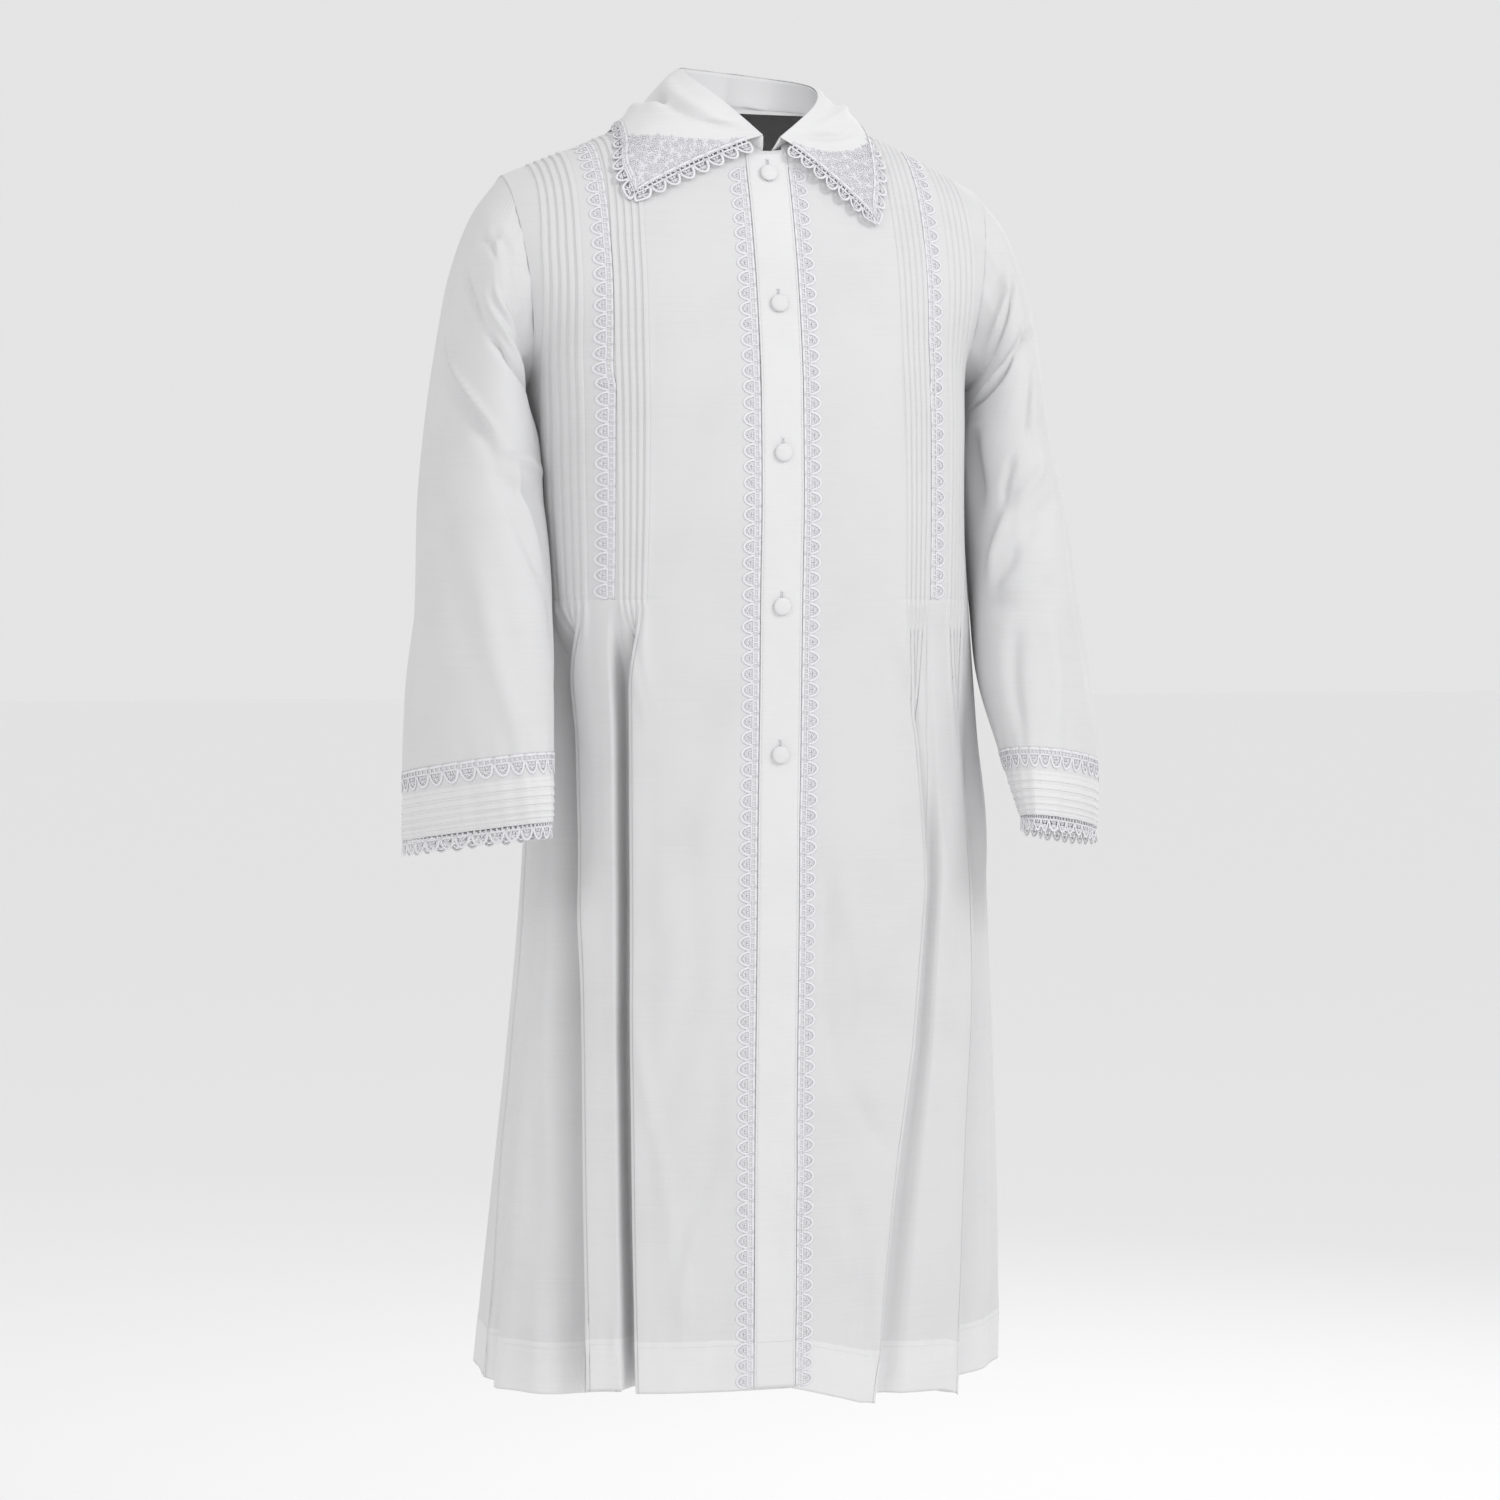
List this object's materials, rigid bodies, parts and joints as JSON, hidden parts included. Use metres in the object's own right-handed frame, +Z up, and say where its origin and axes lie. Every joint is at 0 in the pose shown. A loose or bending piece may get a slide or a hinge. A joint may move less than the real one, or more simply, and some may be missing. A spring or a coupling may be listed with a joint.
{
  "type": "kittel",
  "caption": "White knee-length kittel, worn and hollow: buttoned band between lace strips, pin tucks let into pleats, wide collar with lace corners, wide sleeves with lace and tucks.",
  "frame": {"origin": "on the body's centre line between the shoulders, level with the sides of the neck, where the garment rests on the wearer", "axes": "+Z up, the wearer faces -Y, and the wearer's left is at +X"},
  "size_m": [0.6582, 0.3526, 1.2239],
  "materials": {
    "cloth": "plain-woven white polyester and cotton voile, matt",
    "lace": "white cotton embroidery thread, matt",
    "buttons": "domed buttons covered in the same white cloth"
  },
  "bodies": {
    "root": {"front_right": "cloth", "front_left": "cloth", "back": "cloth", "sleeve_right": "cloth", "sleeve_left": "cloth", "button_band": "cloth", "collar": "cloth", "collar_stand": "cloth", "band_lace_right": "lace", "band_lace_left": "lace", "tuck_lace_right": "lace", "tuck_lace_left": "lace", "sleeve_lace_right": "lace", "sleeve_lace_left": "lace", "cuff_lace_right": "lace", "cuff_lace_left": "lace", "collar_corner_right": "lace", "collar_corner_left": "lace", "collar_lace_right": "lace", "collar_lace_left": "lace", "button_1": "buttons", "button_2": "buttons", "button_3": "buttons", "button_4": "buttons", "button_5": "buttons"}
  },
  "joints": []
}
